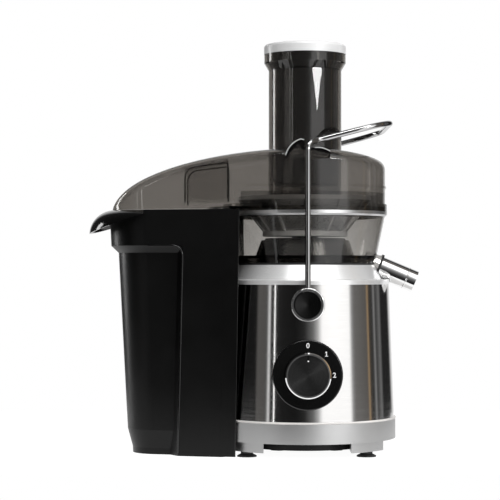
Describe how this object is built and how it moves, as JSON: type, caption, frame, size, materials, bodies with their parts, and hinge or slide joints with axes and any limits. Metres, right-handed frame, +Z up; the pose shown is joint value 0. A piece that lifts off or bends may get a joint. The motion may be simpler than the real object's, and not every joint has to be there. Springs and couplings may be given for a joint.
{
  "type": "centrifugal juicer",
  "caption": "Centrifugal juice extractor with steel-wrapped motor base, clear bowl and teardrop lid, feed chute with pusher, wire lock arm, spout and pulp bin.",
  "frame": {"origin": "on the table, under the middle of the whole footprint; the motor axis stands 50.6 mm to the right of it", "axes": "+X towards the spout, -Y towards the dial, +Z up along the motor axis"},
  "size_m": [0.3291, 0.2004, 0.406],
  "materials": {
    "satin_grey_plastic": "satin",
    "pale_trim": "gloss",
    "silver_plastic": "satin silver",
    "brushed_steel": "fine brushing around the base",
    "black_plastic": "matte",
    "gloss_black": "gloss",
    "smoke_clear": "clear smoky plastic",
    "chrome": "polished",
    "filter_steel": "etched mesh",
    "frame_plastic": "satin",
    "black_rubber": "matte",
    "spun_metal": "spun",
    "housing_plastic": "plain moulding",
    "lamination": "stacked sheet",
    "copper": "enamelled wire",
    "motor_aluminium": "die cast",
    "bright_steel": "ground"
  },
  "bodies": {
    "base": {"base_ring": "satin_grey_plastic", "trim_bead": "pale_trim", "bottom_cover": "black_plastic", "suction_foot_1": "black_rubber", "suction_foot_2": "black_rubber", "suction_foot_3": "black_rubber", "suction_foot_4": "black_rubber", "steel_wrap": "brushed_steel", "chassis": "housing_plastic", "collar": "silver_plastic", "drive_tower": "black_plastic", "shaft_seal": "black_rubber", "upper_motor_bracket": "motor_aluminium", "lower_motor_bracket": "motor_aluminium", "upper_bearing": "bright_steel", "lower_bearing": "bright_steel", "motor_dampers": "black_rubber", "motor_stator": "lamination", "field_coils": "copper", "brush_holders": "housing_plastic", "dial_bezel": "gloss_black", "rotary_switch": "housing_plastic", "interlock_switch": "housing_plastic", "pivot_boss_front": "bright_steel", "pivot_boss_rear": "bright_steel", "cord_gland": "black_plastic", "cover_screws": "bright_steel", "juice_bowl": "smoke_clear", "bowl_gasket": "black_rubber", "spout": "chrome", "spout_seal": "black_rubber", "lid": "smoke_clear"},
    "rotor": {"motor_shaft": "bright_steel", "armature": "lamination", "armature_windings": "copper", "commutator": "copper", "cooling_fan": "black_plastic", "drive_coupling": "black_plastic", "basket_hub": "frame_plastic", "filter_basket": "filter_steel", "basket_frame": "frame_plastic", "grater_disc": "filter_steel"},
    "arm": {"lock_arm": "chrome", "arm_hub_front": "chrome", "arm_hub_rear": "chrome", "hub_cap_front": "gloss_black", "hub_cap_rear": "gloss_black"},
    "dial": {"dial_knob": "gloss_black", "dial_rim": "chrome", "dial_face": "spun_metal", "dial_spindle": "bright_steel"},
    "pusher": {"pusher_body": "black_plastic", "pusher_cap": "silver_plastic"},
    "bin": {"pulp_bin": "black_plastic", "bin_lip": "gloss_black"}
  },
  "joints": [
    {"name": "rotor_spin", "type": "hinge", "parent": "base", "child": "rotor", "pos_m": [0.0506, 0, 0.213], "axis": [0, 0, 1], "continuous": true},
    {"name": "arm_swing", "type": "hinge", "parent": "base", "child": "arm", "pos_m": [0.0506, 0, 0.148], "axis": [0, 1, 0], "range_deg": [0, 100]},
    {"name": "dial_turn", "type": "hinge", "parent": "base", "child": "dial", "pos_m": [0.0506, -0.09, 0.081], "axis": [0, 1, 0], "range_deg": [0, 90]},
    {"name": "pusher_slide", "type": "slide", "parent": "base", "child": "pusher", "axis": [0, 0, 1], "range_m": [0, 0.14]},
    {"name": "bin_slide", "type": "slide", "parent": "base", "child": "bin", "axis": [-1, 0, 0], "range_m": [0, 0.2]}
  ]
}
